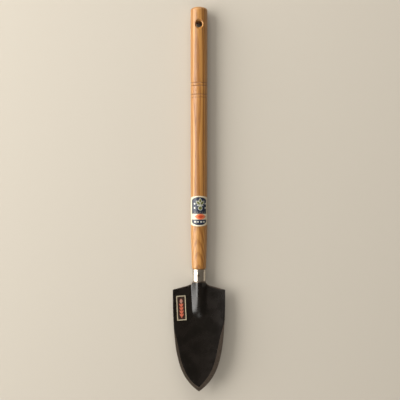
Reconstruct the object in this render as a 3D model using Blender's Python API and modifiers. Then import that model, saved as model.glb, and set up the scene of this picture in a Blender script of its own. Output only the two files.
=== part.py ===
"""Hand transplanter: a long turned handle, a steel ferrule with a cross pin, a pressed and ground
blade, the tang that joins blade and handle, and two paper labels.

It lies on its back, hollow side up, with the blade's tip towards -Y, the handle's butt towards +Y and
the plane of symmetry at X = 0. It rests on the handle's back, at Z = 0. The blade starts at the height
of the handle's axis and leans forward, so its tip is the highest point. Metres, +Z up.
"""

import math

import bmesh
import bpy
import numpy as np
from mathutils import Matrix, Vector

# Clearance between two pieces that touch.
GAP = 0.0003

# Handle, measured along its length from the butt.
HANDLE_LENGTH = 0.4081
HANDLE_RADIUS = 0.0131
HANDLE_LOWER_RADIUS = 0.01275
TAPER_LENGTH = 0.0561
BUTT_FLAT_RADIUS = 0.0055
BUTT_ROUNDING = 0.0045
END_LIP = 0.0008
END_ROUNDING = 0.0030
GROOVES = ((0.1183, 0.0005), (0.1230, 0.0005), (0.1365, 0.00055), (0.1412, 0.00025))
GROOVE_WIDTH = 0.0018

# Hanging hole through the handle, with the same countersink on both sides.
HOLE_FROM_BUTT = 0.0275
HOLE_RADIUS = 0.0051
COUNTERSINK_RADIUS = 0.0082
COUNTERSINK_DEPTH = 0.0034

# Ferrule, and the pin that crosses it.
FERRULE_LENGTH = 0.0190
FERRULE_RADIUS = 0.0104
FERRULE_WALL = 0.0010
FERRULE_CHAMFER = 0.0003
SPIGOT_SETBACK = 0.0006
PIN_RADIUS = 0.0015
PIN_OFFSET = -0.0012
PIN_STAND = 0.0003
PIN_DOME = 0.0004

# Tang, from its point inside the handle to its wedge under the blade's ridge.
TANG_RADIUS = 0.0046
TANG_POINT_RADIUS = 0.0028
TANG_WEDGE_RADIUS = 0.0033
TANG_IN_HANDLE = 0.085
TANG_UNDER_RIDGE = 0.031
TANG_STEP = 0.003
BORE_END_CLEARANCE = 0.002

# Blade. Places along it are distances from its tip.
BLADE_LENGTH = 0.1692
BLADE_HALF_WIDTH = 0.0410
SHEET = 0.0018
DISH_DEPTH = 0.0045
BLADE_LEAN = math.radians(4.5)
TIP_LIFT = 0.0010
TIP_LIFT_LENGTH = 0.070
SHOULDER_DROP = 0.0126
FLARE_WIDTH = 0.0081
FLARE_DROP = 0.0066
NECK_SETBACK = 0.0005
TIP_FULLNESS = 0.78
TIP_RISE = 0.022
SIDE_RISE = 0.055

# Raised ridge down the middle of the blade, from its neck.
RIDGE_LENGTH = 0.061
RIDGE_FOOT_SPREAD = 0.0031
RIDGE_END_HALF_WIDTH = 0.0105
RIDGE_END_HEIGHT = 0.0044
RIDGE_CREST_RADIUS = 0.0025
RIDGE_FOOT_RADIUS = 0.0025
RIDGE_NOSE_START = 0.78

# Ground bevel on the front, along the edge.
BEVEL_START = 0.128
BEVEL_FULL = 0.060
BEVEL_PLAIN_WIDTH = 0.0012
BEVEL_WIDTH = 0.0072
BEVEL_EDGE = 0.0006

# Labels.
HANDLE_LABEL_ABOVE_FERRULE = 0.0668
HANDLE_LABEL_LENGTH = 0.0471
HANDLE_LABEL_WRAP = math.radians(78)
HANDLE_LABEL_ARCH = 0.0032
BLADE_LABEL_SIZE = (0.0144, 0.0380)
BLADE_LABEL_X = -0.0275
BLADE_LABEL_BELOW_NECK = 0.0410
BLADE_LABEL_LEAN = math.radians(2.7)
LABEL_THICKNESS = 0.0002

# How finely round and pressed shapes are divided.
TURNED_STEPS = 40
SMALL_STEPS = 24
BLADE_ROWS = 40
BLADE_COLUMNS = 22
BEVEL_COLUMNS = 2
SHOULDER_SHARE = 0.35
SAMPLES = 240

# Places that follow from the sizes above.
TOOL_LENGTH = BLADE_LENGTH + GAP + FERRULE_LENGTH + GAP + HANDLE_LENGTH
TIP_Y = -TOOL_LENGTH / 2
NECK_Y = TIP_Y + BLADE_LENGTH
FERRULE_Y = NECK_Y + GAP
SHOULDER_Y = FERRULE_Y + FERRULE_LENGTH + GAP
BUTT_Y = SHOULDER_Y + HANDLE_LENGTH
AXIS_Z = HANDLE_RADIUS
SPIGOT_RADIUS = FERRULE_RADIUS - FERRULE_WALL - GAP
SPIGOT_Y = FERRULE_Y + SPIGOT_SETBACK
PIN_Y = FERRULE_Y + FERRULE_LENGTH / 2
TANG_POINT_Y = SPIGOT_Y + TANG_IN_HANDLE
END_RADIUS = FERRULE_RADIUS + END_LIP
TAPER_START = HANDLE_LENGTH - TAPER_LENGTH
NECK_HALF_WIDTH = FERRULE_RADIUS - NECK_SETBACK
RIDGE_HALF_WIDTH = FERRULE_RADIUS + RIDGE_FOOT_SPREAD
RIDGE_HEIGHT = FERRULE_RADIUS
DISH_RADIUS = (BLADE_HALF_WIDTH**2 + DISH_DEPTH**2) / (2 * DISH_DEPTH)
FRONT_HALF_WIDTH = BLADE_HALF_WIDTH * (1 - SHEET / DISH_RADIUS)
CREST_FALL = (RIDGE_HEIGHT - RIDGE_END_HEIGHT) / RIDGE_LENGTH - math.tan(BLADE_LEAN)
NECK_SLANT = SHEET * max(0.0, math.sin(math.atan(CREST_FALL)))


def clear_scene():
    """Remove every object that the file starts with."""
    for obj in list(bpy.data.objects):
        bpy.data.objects.remove(obj, do_unlink=True)


def new_collection(name):
    """A new collection in the scene."""
    collection = bpy.data.collections.new(name)
    bpy.context.scene.collection.children.link(collection)
    return collection


def new_material(name, colour, roughness, metallic):
    """A Principled BSDF material of one colour."""
    material = bpy.data.materials.new(name)
    material.use_nodes = True
    shader = material.node_tree.nodes["Principled BSDF"]
    shader.inputs["Base Color"].default_value = (*colour, 1.0)
    shader.inputs["Roughness"].default_value = roughness
    shader.inputs["Metallic"].default_value = metallic
    return material


def add_object(name, data, collection, material=None):
    """Put a mesh or curve into the scene under this name."""
    obj = bpy.data.objects.new(name, data)
    collection.objects.link(obj)
    if material:
        data.materials.append(material)
    return obj


def make_cutter(obj):
    """Show an object as wire only and keep it out of the model."""
    obj.hide_render = True
    obj.display_type = "WIRE"


def shade_round(mesh):
    """Smooth shading, with edges sharper than 35 degrees kept sharp."""
    mesh.shade_smooth()
    mesh.set_sharp_from_angle(angle=math.radians(35))


def turned(name, profile, collection, material=None, steps=TURNED_STEPS, ring=False):
    """A turned piece: a profile of (radius, height) turned round Z. A ring's profile is closed."""
    mesh = bpy.data.meshes.new(name)
    shape = bmesh.new()
    points = [shape.verts.new((radius, 0.0, height)) for radius, height in profile]
    for start, end in zip(points, points[1:]):
        shape.edges.new((start, end))
    if ring:
        shape.edges.new((points[-1], points[0]))
    shape.to_mesh(mesh)
    shape.free()
    obj = add_object(name, mesh, collection, material)
    screw = obj.modifiers.new("turn", "SCREW")
    screw.axis = "Z"
    screw.steps = steps
    screw.render_steps = steps
    screw.use_smooth_shade = True
    screw.use_merge_vertices = True
    screw.merge_threshold = 0.00001
    return obj


def lay_along_y(obj):
    """Lay a turned piece's Z along +Y, on the handle's axis."""
    obj.location = (0.0, 0.0, AXIS_Z)
    obj.rotation_euler = (-math.pi / 2, 0.0, 0.0)


def cut(obj, cutter):
    """Take a cutter's shape out of an object."""
    boolean = obj.modifiers.new("cut_" + cutter.name, "BOOLEAN")
    boolean.operation = "DIFFERENCE"
    boolean.solver = "EXACT"
    boolean.object = cutter


def flat_grid(columns, rows, place):
    """A mesh grid, each point moved to place(column, row). Points that meet become one."""
    shape = bmesh.new()
    bmesh.ops.create_grid(shape, x_segments=columns, y_segments=rows, size=1.0)
    for vertex in shape.verts:
        column = round((vertex.co.x + 1) / 2 * columns)
        row = round((vertex.co.y + 1) / 2 * rows)
        vertex.co = place(column, row)
    bmesh.ops.remove_doubles(shape, verts=shape.verts, dist=0.000001)
    return shape


# Handle


def handle_radius(from_butt):
    """Radius of the plain wood at a distance from the butt: nearly straight, then a taper."""
    places = (0.0, TAPER_START, HANDLE_LENGTH - END_ROUNDING)
    return float(np.interp(from_butt, places, (HANDLE_RADIUS, HANDLE_LOWER_RADIUS, END_RADIUS)))


def butt_rounding(count):
    """Profile of the butt: its flat middle, then a quarter ellipse out to the handle's radius."""
    width = handle_radius(BUTT_ROUNDING) - BUTT_FLAT_RADIUS
    points = [(0.0, BUTT_Y)]
    for i in range(count + 1):
        angle = math.pi / 2 * i / count
        radius = BUTT_FLAT_RADIUS + width * math.sin(angle)
        points.append((radius, BUTT_Y - BUTT_ROUNDING * (1 - math.cos(angle))))
    return points


def groove(from_butt, depth):
    """Profile of one ring groove."""
    points = []
    for offset, share in ((-0.5, 0.0), (-0.2, 0.85), (0.2, 0.85), (0.5, 0.0)):
        place = from_butt + offset * GROOVE_WIDTH
        points.append((handle_radius(place) - share * depth, BUTT_Y - place))
    return points


def end_rounding(count):
    """Profile of the wood's lower end: a quarter ellipse in towards the ferrule, then its face."""
    points = []
    fall = END_RADIUS - SPIGOT_RADIUS
    for i in range(count + 1):
        angle = math.pi / 2 * i / count
        radius = END_RADIUS - 0.6 * fall * (1 - math.cos(angle))
        points.append((radius, SHOULDER_Y + END_ROUNDING * (1 - math.sin(angle))))
    return points


def make_handle(collection, cutters, material):
    """The turned wood, with its grooves, hanging hole, spigot, tang bore and pin hole."""
    profile = butt_rounding(5)
    for from_butt, depth in GROOVES:
        profile += groove(from_butt, depth)
    profile.append((handle_radius(TAPER_START), BUTT_Y - TAPER_START))
    profile += end_rounding(4)
    profile += [(SPIGOT_RADIUS, SHOULDER_Y), (SPIGOT_RADIUS, SPIGOT_Y), (0.0, SPIGOT_Y)]
    handle = turned("handle", profile, collection, material)
    lay_along_y(handle)
    for cutter in (hole_cutter(cutters), bore_cutter(cutters), pin_cutter(cutters)):
        cut(handle, cutter)
    return handle


def hole_cutter(cutters):
    """The hanging hole: a bore with a cone at each end, along Z."""
    past = 0.002
    top = HANDLE_RADIUS + past
    slope = (COUNTERSINK_RADIUS - HOLE_RADIUS) / COUNTERSINK_DEPTH
    mouth = COUNTERSINK_RADIUS + past * slope
    waist = HANDLE_RADIUS - COUNTERSINK_DEPTH
    half = [(0.0, top), (mouth, top), (HOLE_RADIUS, waist)]
    profile = half + [(radius, -height) for radius, height in reversed(half)]
    cutter = turned("hanging_hole_cutter", profile, cutters, steps=SMALL_STEPS)
    cutter.location = (0.0, BUTT_Y - HOLE_FROM_BUTT, AXIS_Z)
    make_cutter(cutter)
    return cutter


def bore_cutter(cutters):
    """The blind bore for the tang, open at the spigot's end."""
    past = 0.002
    profile = [
        (0.0, TANG_POINT_Y + BORE_END_CLEARANCE),
        (TANG_POINT_RADIUS + GAP, TANG_POINT_Y + BORE_END_CLEARANCE),
        (TANG_RADIUS + GAP, SPIGOT_Y),
        (TANG_RADIUS + GAP, SPIGOT_Y - past),
        (0.0, SPIGOT_Y - past),
    ]
    cutter = turned("tang_bore_cutter", profile, cutters, steps=SMALL_STEPS)
    lay_along_y(cutter)
    make_cutter(cutter)
    return cutter


# Ferrule and pin


def make_ferrule(collection, cutters, material):
    """The steel ring, with a small chamfer at its four edges and the pin's two holes."""
    inner = FERRULE_RADIUS - FERRULE_WALL
    top = FERRULE_Y + FERRULE_LENGTH
    profile = [
        (FERRULE_RADIUS - FERRULE_CHAMFER, top),
        (FERRULE_RADIUS, top - FERRULE_CHAMFER),
        (FERRULE_RADIUS, FERRULE_Y + FERRULE_CHAMFER),
        (FERRULE_RADIUS - FERRULE_CHAMFER, FERRULE_Y),
        (inner, FERRULE_Y),
        (inner, top),
    ]
    ferrule = turned("ferrule", profile, collection, material, ring=True)
    lay_along_y(ferrule)
    cut(ferrule, pin_cutter(cutters))
    return ferrule


def pin_profile(radius, half_length, dome):
    """Profile of a pin with domed ends, centred on its own origin."""
    half = [(0.0, half_length), (0.6 * radius, half_length - 0.3 * dome), (radius, half_length - dome)]
    return half + [(r, -height) for r, height in reversed(half)]


def place_on_pin_axis(obj):
    """Stand a turned piece on the axis of the ferrule's pin."""
    obj.location = (PIN_OFFSET, PIN_Y, AXIS_Z)


def pin_cutter(cutters):
    """The hole for the pin, one cutter for the ferrule, the spigot and the tang."""
    name = "pin_hole_cutter"
    cutter = bpy.data.objects.get(name)
    if cutter is None:
        reach = FERRULE_RADIUS + 0.002
        profile = [(0.0, reach), (PIN_RADIUS + GAP, reach), (PIN_RADIUS + GAP, -reach), (0.0, -reach)]
        cutter = turned(name, profile, cutters, steps=SMALL_STEPS)
        place_on_pin_axis(cutter)
        make_cutter(cutter)
    return cutter


def make_pin(collection, material):
    """The pin through ferrule, wood and tang, its domed ends just proud of the ferrule."""
    surface = math.sqrt(FERRULE_RADIUS**2 - PIN_OFFSET**2)
    profile = pin_profile(PIN_RADIUS, surface + PIN_STAND, PIN_DOME)
    pin = turned("ferrule_pin", profile, collection, material, steps=SMALL_STEPS)
    place_on_pin_axis(pin)
    return pin


# Blade


def bezier(start, first, second, end):
    """Points along one cubic Bezier curve."""
    t = np.linspace(0.0, 1.0, SAMPLES)[:, None]
    ends = (1 - t) ** 3 * np.array(start) + t**3 * np.array(end)
    return ends + 3 * (1 - t) ** 2 * t * np.array(first) + 3 * (1 - t) * t**2 * np.array(second)


def smooth(share):
    """A share from 0 to 1, eased at both ends."""
    return share * share * (3 - 2 * share)


def side_outline():
    """The front's edge as (x, distance from the tip), from the shoulder's corner to the tip."""
    corner = (FRONT_HALF_WIDTH, BLADE_LENGTH - SHOULDER_DROP)
    full = (FRONT_HALF_WIDTH, SIDE_RISE)
    near_tip = (TIP_FULLNESS * FRONT_HALF_WIDTH, TIP_RISE)
    return bezier(corner, full, near_tip, (0.0, 0.0))


def shoulder_outline():
    """The top of the front as (x, distance below the neck's end): neck, hollow flare, shoulder.

    The front starts a little below the neck's end, because the sheet's cut edge there is square to
    the sloping crest and its back edge is the one that meets the ferrule.
    """
    flare_x = NECK_HALF_WIDTH + FLARE_WIDTH
    slope = (SHOULDER_DROP - FLARE_DROP) / (FRONT_HALF_WIDTH - flare_x)
    ease = FLARE_WIDTH / 2
    flare = bezier(
        (NECK_HALF_WIDTH, NECK_SLANT),
        (NECK_HALF_WIDTH + 0.2 * FLARE_WIDTH, 0.6 * FLARE_DROP),
        (flare_x - ease, FLARE_DROP - ease * slope),
        (flare_x, FLARE_DROP),
    )
    return np.vstack([(0.0, NECK_SLANT), flare, (FRONT_HALF_WIDTH, SHOULDER_DROP)])


def bevel_width(from_tip):
    """Width of the ground bevel, growing smoothly from the plain edge near the shoulders."""
    share = np.clip((BEVEL_START - from_tip) / (BEVEL_START - BEVEL_FULL), 0.0, 1.0)
    return BEVEL_PLAIN_WIDTH + (BEVEL_WIDTH - BEVEL_PLAIN_WIDTH) * smooth(share)


def bevel_line(outline):
    """The inner line of the bevel, ending on the middle line above the tip."""
    run = np.gradient(outline, axis=0)
    normal = np.column_stack([run[:, 1], -run[:, 0]])
    normal /= np.linalg.norm(normal, axis=1)[:, None]
    inner = outline + normal * bevel_width(outline[:, 1])[:, None]
    last = int(np.argmax(inner[:, 0] < 0.0))
    share = inner[last - 1, 0] / (inner[last - 1, 0] - inner[last, 0])
    middle = inner[last - 1] + share * (inner[last] - inner[last - 1])
    line = np.vstack([inner[:last], middle])
    line[0] = (line[0, 0], BLADE_LENGTH - shoulder_drop(line[0, 0]))
    return line


def shoulder_drop(x):
    """How far the shoulder's outline lies below the neck's end at x."""
    outline = shoulder_outline()
    return np.interp(x, outline[:, 0], outline[:, 1])


def evenly_spaced(line, count):
    """Points that divide a line of points into equal lengths."""
    steps = np.linalg.norm(np.diff(line, axis=0), axis=1)
    travelled = np.concatenate([[0.0], np.cumsum(steps)])
    wanted = np.linspace(0.0, travelled[-1], count + 1)
    return np.column_stack([np.interp(wanted, travelled, values) for values in line.T])


def ridge_size(from_tip):
    """Half-width and height of the ridge at a place along the blade, 0 past its rounded end."""
    along = (BLADE_LENGTH - from_tip) / RIDGE_LENGTH
    if along >= 1.0:
        return 0.0, 0.0
    half_width = RIDGE_HALF_WIDTH + (RIDGE_END_HALF_WIDTH - RIDGE_HALF_WIDTH) * along
    height = RIDGE_HEIGHT + (RIDGE_END_HEIGHT - RIDGE_HEIGHT) * along
    nose = max(0.0, (along - RIDGE_NOSE_START) / (1 - RIDGE_NOSE_START))
    return half_width * math.sqrt(1 - nose**2), height * (1 - nose**2)


def flank_angle(half_width, height):
    """Slope of the ridge's flanks, which join the rounded crest and the hollow foot."""
    arcs = RIDGE_CREST_RADIUS + RIDGE_FOOT_RADIUS
    rest = arcs - height
    return math.asin(arcs / math.hypot(half_width, rest)) - math.atan2(rest, half_width)


def ridge_rise(x, from_tip):
    """Height of the ridge above the dish: a rounded crest, flat flanks and a hollow foot."""
    half_width, height = ridge_size(from_tip)
    if abs(x) >= half_width:
        return 0.0
    flank = flank_angle(half_width, height)
    sine, cosine = math.sin(flank), math.cos(flank)
    if abs(x) <= RIDGE_CREST_RADIUS * sine:
        return height - RIDGE_CREST_RADIUS + math.sqrt(RIDGE_CREST_RADIUS**2 - x**2)
    inwards = half_width - abs(x)
    if inwards <= RIDGE_FOOT_RADIUS * sine:
        return RIDGE_FOOT_RADIUS - math.sqrt(RIDGE_FOOT_RADIUS**2 - inwards**2)
    foot = RIDGE_FOOT_RADIUS * (1 - cosine)
    return foot + (inwards - RIDGE_FOOT_RADIUS * sine) * math.tan(flank)


def front_z(x, from_tip):
    """Height of the blade's front: the leaning dish, the lifted tip and the ridge."""
    lean = (BLADE_LENGTH - from_tip) * math.tan(BLADE_LEAN)
    dish = DISH_RADIUS - math.sqrt(DISH_RADIUS**2 - x**2)
    lift = TIP_LIFT * max(0.0, 1 - from_tip / TIP_LIFT_LENGTH) ** 2
    return AXIS_Z + lean + dish + lift + ridge_rise(x, from_tip)


def blade_row(inner, share):
    """One row across half the sheet, from the middle line to a point on the bevel's line.

    The first rows follow the shoulder's outline, and the others straighten out below it.
    """
    across = np.linspace(0.0, 1.0, SAMPLES)
    x = across * inner[0]
    top_width = FRONT_HALF_WIDTH - BEVEL_PLAIN_WIDTH
    full_drop = shoulder_drop(top_width) - NECK_SLANT
    middle = inner[1] + full_drop * (1 - share)
    shoulder = smooth(1 - min(1.0, share / SHOULDER_SHARE))
    bent = (shoulder_drop(across * top_width) - NECK_SLANT) / full_drop
    bend = shoulder * bent + (1 - shoulder) * across**2
    from_tip = middle - (middle - inner[1]) * bend
    z = [front_z(*place) for place in zip(x, from_tip)]
    return evenly_spaced(np.column_stack([x, from_tip, z]), BLADE_COLUMNS)


def blade_points():
    """Rows of (x, distance from the tip, z) for half the front, the bevel's band included."""
    outline = side_outline()
    inner = evenly_spaced(bevel_line(outline), BLADE_ROWS)
    outer = evenly_spaced(outline, BLADE_ROWS)
    rows = []
    for row in range(BLADE_ROWS + 1):
        points = list(blade_row(inner[row], row / BLADE_ROWS))
        for step in range(1, BEVEL_COLUMNS + 1):
            share = step / BEVEL_COLUMNS
            x, from_tip = inner[row] + share * (outer[row] - inner[row])
            ground = (bevel_width(from_tip) - BEVEL_PLAIN_WIDTH) / (BEVEL_WIDTH - BEVEL_PLAIN_WIDTH)
            drop = share * ground * (SHEET - BEVEL_EDGE)
            points.append((x, from_tip, front_z(x, from_tip) - drop))
        rows.append(points)
    return rows


def make_blade(collection, material):
    """The pressed blade: half its front surface, mirrored, then thickened downwards."""
    rows = blade_points()

    def place(column, row):
        x, from_tip, z = rows[row][column]
        return (x, TIP_Y + from_tip, z)

    shape = flat_grid(BLADE_COLUMNS + BEVEL_COLUMNS, BLADE_ROWS, place)
    bmesh.ops.recalc_face_normals(shape, faces=shape.faces)
    if sum(face.normal.z for face in shape.faces) < 0:
        bmesh.ops.reverse_faces(shape, faces=shape.faces)
    mesh = bpy.data.meshes.new("blade")
    shape.to_mesh(mesh)
    shape.free()
    mesh.shade_smooth()
    blade = add_object("blade", mesh, collection, material)
    full_sheet = blade.vertex_groups.new(name="full_sheet")
    for vertex in mesh.vertices:
        x, from_tip = vertex.co.x, vertex.co.y - TIP_Y
        lowered = front_z(x, from_tip) - vertex.co.z
        full_sheet.add([vertex.index], 1 - lowered / SHEET, "REPLACE")
    mirror = blade.modifiers.new("mirror", "MIRROR")
    mirror.use_axis = (True, False, False)
    mirror.merge_threshold = 0.00001
    sheet = blade.modifiers.new("sheet", "SOLIDIFY")
    sheet.thickness = SHEET
    sheet.offset = -1.0
    sheet.use_even_offset = True
    sheet.vertex_group = "full_sheet"
    sheet.thickness_vertex_group = 0.0
    return blade


# Tang


def tang_radius(y):
    """Radius of the tang: a taper into the handle, and a shorter one under the ridge."""
    wedge_y = NECK_Y - TANG_UNDER_RIDGE
    places = (wedge_y, NECK_Y, SPIGOT_Y, TANG_POINT_Y)
    radii = (TANG_WEDGE_RADIUS, TANG_RADIUS, TANG_RADIUS, TANG_POINT_RADIUS)
    return float(np.interp(y, places, radii))


def tang_z(y):
    """Height of the tang's middle: on the handle's axis, then rising to rest against the ridge's flanks."""
    if y > NECK_Y:
        return AXIS_Z
    from_tip = y - TIP_Y
    cosine = math.cos(flank_angle(*ridge_size(from_tip)))
    flanks_meet = front_z(0.0, from_tip) + RIDGE_CREST_RADIUS * (1 / cosine - 1)
    resting = flanks_meet - (SHEET + GAP + tang_radius(y)) / cosine
    return AXIS_Z + (resting - AXIS_Z) * (NECK_Y - y) / TANG_UNDER_RIDGE


def make_tang(collection, cutters, material):
    """The steel tang, as a rod along its own line, with the pin's hole across it."""
    wedge_y = NECK_Y - TANG_UNDER_RIDGE
    count = round(TANG_UNDER_RIDGE / TANG_STEP)
    places = [wedge_y + TANG_UNDER_RIDGE * i / count for i in range(count + 1)]
    places += [SPIGOT_Y, TANG_POINT_Y]
    curve = bpy.data.curves.new("tang_line", "CURVE")
    curve.dimensions = "3D"
    curve.bevel_depth = 1.0
    curve.bevel_resolution = 4
    curve.use_fill_caps = True
    spline = curve.splines.new("POLY")
    spline.points.add(len(places) - 1)
    for point, y in zip(spline.points, places):
        point.co = (0.0, y, tang_z(y), 1.0)
        point.radius = tang_radius(y)
    line = add_object("tang_line", curve, collection)
    graph = bpy.context.evaluated_depsgraph_get()
    mesh = bpy.data.meshes.new_from_object(line.evaluated_get(graph))
    mesh.name = "tang"
    shape = bmesh.new()
    shape.from_mesh(mesh)
    bmesh.ops.remove_doubles(shape, verts=shape.verts, dist=0.00001)
    shape.to_mesh(mesh)
    shape.free()
    shade_round(mesh)
    tang = add_object("tang", mesh, collection, material)
    tang.matrix_world = line.matrix_world
    bpy.data.objects.remove(line, do_unlink=True)
    cut(tang, pin_cutter(cutters))
    return tang


# Labels


def add_label(name, shape, collection, material):
    """A thin sheet of paper made from an open surface."""
    if sum(face.normal.z for face in shape.faces) < 0:
        bmesh.ops.reverse_faces(shape, faces=shape.faces)
    mesh = bpy.data.meshes.new(name)
    shape.to_mesh(mesh)
    shape.free()
    mesh.shade_smooth()
    label = add_object(name, mesh, collection, material)
    paper = label.modifiers.new("paper", "SOLIDIFY")
    paper.thickness = LABEL_THICKNESS
    paper.offset = 1.0
    return label


def make_handle_label(collection, material):
    """The label round the front of the handle, with arched ends."""
    columns, rows = 20, 6
    middle = HANDLE_LENGTH - HANDLE_LABEL_ABOVE_FERRULE - HANDLE_LABEL_LENGTH / 2

    def place(column, row):
        across = 2 * column / columns - 1
        along = 2 * row / rows - 1
        half = HANDLE_LABEL_LENGTH / 2 - HANDLE_LABEL_ARCH * across**2
        from_butt = middle + along * half
        angle = across * HANDLE_LABEL_WRAP
        radius = handle_radius(from_butt) + GAP
        return (radius * math.sin(angle), BUTT_Y - from_butt, AXIS_Z + radius * math.cos(angle))

    return add_label("handle_label", flat_grid(columns, rows, place), collection, material)


def make_blade_label(collection, material):
    """The sticker on the blade's front, leaning a little, bent to the dish under it."""
    columns, rows = 8, 8
    width, length = BLADE_LABEL_SIZE
    turn = Matrix.Rotation(BLADE_LABEL_LEAN, 2)
    centre_from_tip = BLADE_LENGTH - BLADE_LABEL_BELOW_NECK

    def place(column, row):
        flat = turn @ Vector((width * (column / columns - 0.5), length * (row / rows - 0.5)))
        x = BLADE_LABEL_X + flat.x
        from_tip = centre_from_tip + flat.y
        return (x, TIP_Y + from_tip, front_z(x, from_tip) + GAP)

    return add_label("blade_label", flat_grid(columns, rows, place), collection, material)


def main():
    """Build every piece of the tool."""
    clear_scene()
    parts = new_collection("hand_transplanter")
    cutters = new_collection("cutters")
    cutters.hide_render = True
    oak = new_material("oak", (0.60, 0.36, 0.16), 0.50, 0.0)
    stainless = new_material("stainless", (0.72, 0.70, 0.66), 0.22, 1.0)
    black_steel = new_material("black_steel", (0.020, 0.017, 0.014), 0.42, 0.6)
    raw_steel = new_material("raw_steel", (0.30, 0.28, 0.26), 0.50, 1.0)
    navy_paper = new_material("navy_paper", (0.035, 0.055, 0.110), 0.45, 0.0)
    black_paper = new_material("black_paper", (0.040, 0.020, 0.012), 0.45, 0.0)
    make_handle(parts, cutters, oak)
    make_ferrule(parts, cutters, stainless)
    make_pin(parts, stainless)
    make_blade(parts, black_steel)
    make_tang(parts, cutters, raw_steel)
    make_handle_label(parts, navy_paper)
    make_blade_label(parts, black_paper)


main()
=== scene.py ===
"""Looks of the hand transplanter: its pieces, finishes, light and camera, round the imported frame."""

import logging
import math
from collections.abc import Callable, Iterator, Sequence
from contextlib import contextmanager
from dataclasses import dataclass, field
from enum import Enum

import bmesh
import bpy
import numpy as np
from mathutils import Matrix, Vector


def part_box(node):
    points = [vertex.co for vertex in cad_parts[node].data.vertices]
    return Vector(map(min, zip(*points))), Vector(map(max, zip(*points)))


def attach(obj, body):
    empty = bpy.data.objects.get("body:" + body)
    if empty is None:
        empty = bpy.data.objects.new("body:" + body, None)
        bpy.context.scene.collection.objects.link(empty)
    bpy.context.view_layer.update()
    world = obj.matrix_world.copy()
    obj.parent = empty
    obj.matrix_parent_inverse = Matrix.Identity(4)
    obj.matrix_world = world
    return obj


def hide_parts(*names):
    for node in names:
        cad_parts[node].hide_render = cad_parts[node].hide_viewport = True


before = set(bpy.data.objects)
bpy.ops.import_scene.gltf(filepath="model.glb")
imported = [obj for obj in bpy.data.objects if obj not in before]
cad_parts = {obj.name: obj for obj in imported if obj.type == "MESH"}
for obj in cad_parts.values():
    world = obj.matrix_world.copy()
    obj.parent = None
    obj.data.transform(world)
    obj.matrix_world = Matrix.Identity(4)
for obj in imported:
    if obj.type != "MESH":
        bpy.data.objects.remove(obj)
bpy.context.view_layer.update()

log = logging.getLogger("transplanter")

BODY = "root"
MM = 0.001

# How near to each other points merge, and the small ring that a closed round end starts from
MERGE_GAP = 0.002 * MM
END_RADIUS = 0.05 * MM

# Between two pieces that fit each other, and from the ferrule's lower edge to the wood inside it
FIT_GAP = 0.3 * MM
SPIGOT_SETBACK = 0.6 * MM

Piece = bpy.types.Object
Socket = bpy.types.NodeSocket
Colour = tuple[float, float, float]
Place = tuple[float, float, float]


class Along(Enum):
    """Which way a swept piece runs."""

    Y = "y"
    Z = "z"


class Wall(Enum):
    """How a swept piece ends: closed to a point at both ends, or round on itself as a ring."""

    SOLID = "solid"
    RING = "ring"


# Work on a mesh by hand


def clear_selection() -> None:
    """Deselect every object, the frame's own among them."""
    bpy.ops.object.select_all(action="DESELECT")


def select_only(piece: Piece) -> None:
    """Make one piece the selected and active object."""
    clear_selection()
    piece.select_set(True)
    bpy.context.view_layer.objects.active = piece


@contextmanager
def editing(piece: Piece) -> Iterator[None]:
    """Keep one piece in edit mode for the length of a with block.

    Args:
        piece: the mesh that is worked on, the only object selected.
    """
    select_only(piece)
    bpy.ops.object.mode_set(mode="EDIT")
    yield
    bpy.ops.object.mode_set(mode="OBJECT")


def take_piece(name: str) -> Piece:
    """Name the primitive just added and move its place into its mesh.

    Args:
        name: the new piece's name.

    Returns:
        The piece, its object at the origin.
    """
    piece = bpy.context.active_object
    piece.name = name
    piece.data.name = name
    bpy.ops.object.transform_apply(location=True, rotation=True, scale=True)
    return piece


def pick_points(piece: Piece, wanted: Callable[[Vector], bool]) -> None:
    """In edit mode, select the points of a piece that lie where wanted says.

    Args:
        piece: the mesh in edit mode.
        wanted: says of a point's place whether it is picked.
    """
    bpy.ops.mesh.select_mode(type="VERT")
    bpy.ops.mesh.select_all(action="DESELECT")
    shape = bmesh.from_edit_mesh(piece.data)
    for point in shape.verts:
        point.select = wanted(point.co)
    shape.select_flush(True)
    bmesh.update_edit_mesh(piece.data)


def settle(piece: Piece) -> None:
    """Merge a piece's doubles, then point its faces one way, outwards on a closed piece.

    Args:
        piece: the mesh, in object mode.
    """
    with editing(piece):
        bpy.ops.mesh.select_all(action="SELECT")
        bpy.ops.mesh.remove_doubles(threshold=MERGE_GAP)
        bpy.ops.mesh.normals_make_consistent(inside=False)


def quarter_turn(steps: int) -> list[float]:
    """Angles from 0 to a right angle in equal steps, both ends among them."""
    return [math.pi / 2 * step / steps for step in range(steps + 1)]


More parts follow.
